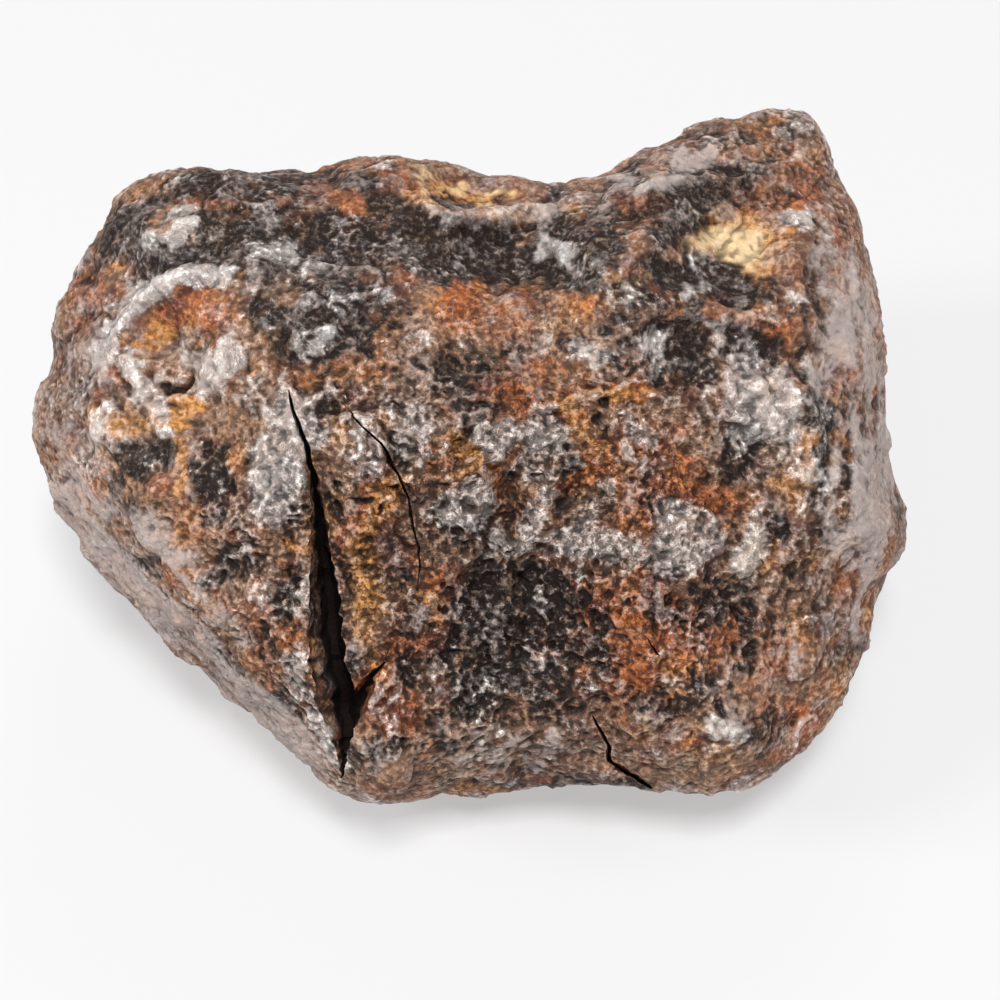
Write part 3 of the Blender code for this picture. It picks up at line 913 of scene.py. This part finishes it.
DARK_OXIDE = pigment(54, 38, 32)
BROWN_OXIDE = pigment(118, 88, 70)
MAROON = pigment(100, 60, 50)
TAN = pigment(194, 156, 126)
PALE_OXIDE = pigment(170, 134, 108)
MAGNETITE = pigment(20, 16, 15)
GREY_SCALE = pigment(88, 79, 72)
ORANGE_RUST = pigment(184, 102, 48)
RED_RUST = pigment(112, 62, 45)
OCHRE = pigment(210, 148, 82)
BROWN_OCHRE = pigment(154, 98, 50)
CREAM = pigment(234, 204, 158)
BARE_IRON_AND_GLINT = pigment(252, 247, 242)
DULL_IRON = pigment(160, 138, 128)
GREY_DUST_AND_SHEEN = pigment(184, 172, 166)
PAINTED_SHADE_BROWN = pigment(24, 15, 12)
# Grain scales, in cells to the metre.
FINEST_GRAIN = 14000
SAND_GRAIN = 7600
CRUMB_GRAIN = 3300
FACET_GRAIN = 2300
LACE_GRAIN = 1500
MAROON_GRAIN = 1000
MOTTLE_GRAIN = 560
EDGE_GRAIN = 520
# How each finish ends: a seed, how far grain breaks it up, how soft its edge is, and how much it
# keeps to crests, or to hollows where that is below 0.
EDGES = {
    "black": (1.0, 1.8, 0.24, -0.30),
    "rust": (2.0, 1.8, 0.30, 0.0),
    "ochre": (3.0, 1.7, 0.30, 0.05),
    "cream": (4.0, 0.9, 0.45, 0.0),
    "silver": (5.0, 1.7, 0.26, 0.2),
    "tan": (7.0, 1.8, 0.32, 0.15),
    "dust_and_sheen": (6.0, 2.4, 0.42, 0.25),
}
GRAIN_RELIEF = 0.32 * MM
COAT_ROUGHNESS = 0.2
DULL_SPECULAR = 0.16
LEAST_ROUGHNESS = 0.2


def rusted_iron():
    """Rusted iron, with fine grain between the stains and painted light that the skin's own numbers
    place.
    """
    material = bpy.data.materials.new("rusted_iron")
    material.use_nodes = True
    tree = material.node_tree
    shader = tree.nodes["Principled BSDF"]
    bench = Wire(tree)
    place = bench.node("ShaderNodeTexCoord", {}, output="Object")

    def grain(scale, detail, shift, roughness=0.6):
        moved = bench.node("ShaderNodeVectorMath", {0: place, 1: (shift, shift, shift)}, operation="ADD")
        sockets = {"Vector": moved, "Scale": scale, "Detail": detail, "Roughness": roughness}
        return bench.node("ShaderNodeTexNoise", sockets)

    def kept(name):
        return bench.node("ShaderNodeAttribute", {}, output="Fac", attribute_name=name)

    crest = kept("crest")
    buried = kept("buried")
    fresh = kept("fresh")
    sand = grain(SAND_GRAIN, 2, 0.1)
    crumbs = grain(CRUMB_GRAIN, 3, 0.2)
    mottle = grain(MOTTLE_GRAIN, 4, 0.3)
    vein = bench.node("ShaderNodeMath", {0: grain(LACE_GRAIN, 3, 0.4) - 0.5}, operation="ABSOLUTE")
    lace = (1 - 8 * vein).ease(0.1, 1.0)
    cells = {"Vector": place, "Scale": FACET_GRAIN, "Randomness": 1.0}
    facets = bench.node("ShaderNodeTexVoronoi", cells)
    relief = 0.45 * crumbs + 0.28 * sand + 0.17 * grain(FINEST_GRAIN, 1, 0.7) + 0.22 * (0.45 - facets)
    pits = 1 - (relief + 0.04 * crest).ease(0.40, 0.50)
    tips = (relief + 0.06 * crest).ease(0.50, 0.60)

    def shows(name):
        """Where a finish shows: its own numbers, broken up by grain and by crests and hollows."""
        seed, spread, soft, lean = EDGES[name]
        broken = grain(EDGE_GRAIN, 5, seed, 0.6) - 0.5
        share = kept(name) + spread * (broken + 0.35 * (crumbs - 0.5)) + lean * crest
        share = 0.5 + (0.75 + 0.25 * fresh) * (share - 0.5)
        return share.ease(0.5 - soft, 0.5 + soft)

    black = shows("black")
    rust = shows("rust")
    ochre = shows("ochre")
    cream = shows("cream")
    silver = shows("silver")
    pale = shows("tan")
    dust_and_sheen = shows("dust_and_sheen")

    # The finishes go on in layers, each over the last: oxide, rust, ochre, cream, magnetite, a tan
    # painted highlight on grain tips, rubbed iron with painted glints, dust with a painted sheen, and
    # then painted shade in pits, hollows and cracks.
    colour = mottle.ease(0.36, 0.62).blend(DARK_OXIDE, BROWN_OXIDE)
    colour = grain(MAROON_GRAIN, 3, 0.5).ease(0.42, 0.66).blend(colour, MAROON)
    colour = (0.8 * pale).blend(colour, crumbs.ease(0.35, 0.62).blend(BROWN_OXIDE, PALE_OXIDE))
    flecks = (0.5 * mottle + 0.5 * crumbs).ease(0.42, 0.58).blend(RED_RUST, ORANGE_RUST)
    colour = (0.85 * rust).blend(colour, flecks)
    colour = (0.9 * ochre).blend(colour, crumbs.ease(0.35, 0.6).blend(BROWN_OCHRE, OCHRE))
    colour = cream.blend(colour, CREAM)
    dark = 0.93 * black * (1 - cream)
    colour = dark.blend(colour, crumbs.ease(0.47, 0.72).blend(MAGNETITE, GREY_SCALE))
    # Painted highlight: the tops of the grain are lightened towards tan.
    colour = (0.5 * tips * fresh).blend(colour, TAN)
    # Rubbed iron: dull iron turned white on grain tips, lace and worn crests, partly real wear and
    # partly painted glints.
    wear_and_glint = 0.4 + 0.6 * tips + 0.35 * lace + 0.4 * (1 - fresh) * crest.ease(0.0, 0.8)
    colour = (silver * (0.55 + 0.4 * tips)).blend(colour, wear_and_glint.blend(DULL_IRON, BARE_IRON_AND_GLINT))
    # Pale dust, which also paints the sheen of the white table and room at grazing angles on the flanks.
    colour = (0.7 * dust_and_sheen).blend(colour, GREY_DUST_AND_SHEEN)
    # Painted shade: dark brown laid in the low points of the grain, in the hollows of the relief, and
    # deeper down inside the cracks.
    colour = (0.65 * fresh * (1 - 0.5 * dust_and_sheen) * pits).blend(colour, PAINTED_SHADE_BROWN)
    colour = (0.6 * (0.0 - crest).ease(0.1, 0.9)).blend(colour, PAINTED_SHADE_BROWN)
    colour = (0.92 * buried).blend(colour, PAINTED_SHADE_BROWN)

    gloss = 0.52 - 0.16 * silver + 0.1 * rust + 0.12 * ochre + 0.2 * dust_and_sheen
    gloss = gloss - 0.3 * tips * fresh + 0.15 * pits + 0.4 * buried
    height = (0.35 + 0.65 * fresh) * (relief + 0.10 * lace)
    sockets = {"Strength": 1.0, "Distance": GRAIN_RELIEF, "Height": height}
    bump = bench.node("ShaderNodeBump", sockets)
    tree.links.new(colour.socket, shader.inputs["Base Color"])
    gloss = gloss.maths("MAXIMUM", gloss, LEAST_ROUGHNESS)
    tree.links.new(gloss.socket, shader.inputs["Roughness"])
    shine = (0.35 * silver + 0.3 * tips * fresh) * (1 - dust_and_sheen) * (1 - buried)
    tree.links.new(shine.socket, shader.inputs["Metallic"])
    coat = (0.08 + 0.45 * tips) * (1 - dust_and_sheen) * (1 - buried)
    tree.links.new(coat.socket, shader.inputs["Coat Weight"])
    shader.inputs["Coat Roughness"].default_value = COAT_ROUGHNESS
    shader.inputs["Specular IOR Level"].default_value = DULL_SPECULAR
    tree.links.new(bump.socket, shader.inputs["Normal"])
    return material


SHARP_FROM = radians(60)
skin.data.materials.clear()
skin.data.materials.append(rusted_iron())
skin.data.shade_smooth()
skin.data.set_sharp_from_angle(angle=SHARP_FROM)
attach(skin, "root")
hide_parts("meteorite")


# The floor is a plain white light table, which glows a little so that shadows on it stay faint. It
# glows more further off, where the lamps don't reach, so that it meets the pale room.
FLOOR_SIZE = 4.0
TABLE_WHITE = (0.355, 0.355, 0.357, 1)
TABLE_ROUGHNESS = 0.9
TABLE_SPECULAR = 0.1
GLOW_NEAR = 0.1
GLOW_FAR = 0.6
FAINT_GLOW = (0.425, 0.425, 0.425, 1)
FULL_GLOW = (0.9, 0.9, 0.9, 1)
bed = bmesh.new()
bmesh.ops.create_grid(bed, x_segments=1, y_segments=1, size=FLOOR_SIZE / 2)
floor_mesh = bpy.data.meshes.new("floor")
bed.to_mesh(floor_mesh)
bed.free()
floor = bpy.data.objects.new("floor", floor_mesh)
bpy.context.scene.collection.objects.link(floor)
white = bpy.data.materials.new("white_table")
white.use_nodes = True
table = white.node_tree.nodes["Principled BSDF"]
table.inputs["Base Color"].default_value = TABLE_WHITE
table.inputs["Roughness"].default_value = TABLE_ROUGHNESS
table.inputs["Specular IOR Level"].default_value = TABLE_SPECULAR
bench = Wire(white.node_tree)
spot = bench.node("ShaderNodeTexCoord", {}, output="Object")
reach = bench.node("ShaderNodeVectorMath", {0: spot}, output="Value", operation="LENGTH")
glow = reach.ease(GLOW_NEAR, GLOW_FAR).blend(FAINT_GLOW, FULL_GLOW)
white.node_tree.links.new(glow.socket, table.inputs["Emission Color"])
table.inputs["Emission Strength"].default_value = 1.0
floor.data.materials.append(white)


# Three softboxes hang round the table and face the lump: a strong one overhead, and weaker ones at
# the left and the back. The room is dim overhead and pale around the horizon.
LAMP_TARGET = Vector((0, 0, 0.012))
ROOM_DIM = (0.18, 0.18, 0.19, 1)
ROOM_PALE = (0.95, 0.95, 0.96, 1)
DIM_ABOVE = 0.62
PALE_BELOW = 0.12


def softbox(name, place, size, power):
    """A square lamp that faces the lump."""
    lamp = bpy.data.lights.new(name, "AREA")
    lamp.size = size
    lamp.energy = power
    holder = bpy.data.objects.new(name, lamp)
    holder.location = place
    holder.rotation_euler = (Vector(place) - LAMP_TARGET).to_track_quat("Z", "Y").to_euler()
    bpy.context.scene.collection.objects.link(holder)


softbox("overhead", (0.02, -0.10, 0.50), 0.12, 2.5)
softbox("left", (-0.40, -0.05, 0.35), 0.15, 0.9)
softbox("back", (0.10, 0.50, 0.38), 0.25, 0.5)

world = bpy.data.worlds.new("pale_room")
world.use_nodes = True
room = Wire(world.node_tree)
way = room.node("ShaderNodeTexCoord", {})
rise = room.node("ShaderNodeSeparateXYZ", {0: way}, output="Z")
glow = rise.ease(DIM_ABOVE, PALE_BELOW).blend(ROOM_DIM, ROOM_PALE)
world.node_tree.links.new(glow.socket, world.node_tree.nodes["Background"].inputs["Color"])
bpy.context.scene.world = world
bpy.context.scene.view_settings.view_transform = "Standard"
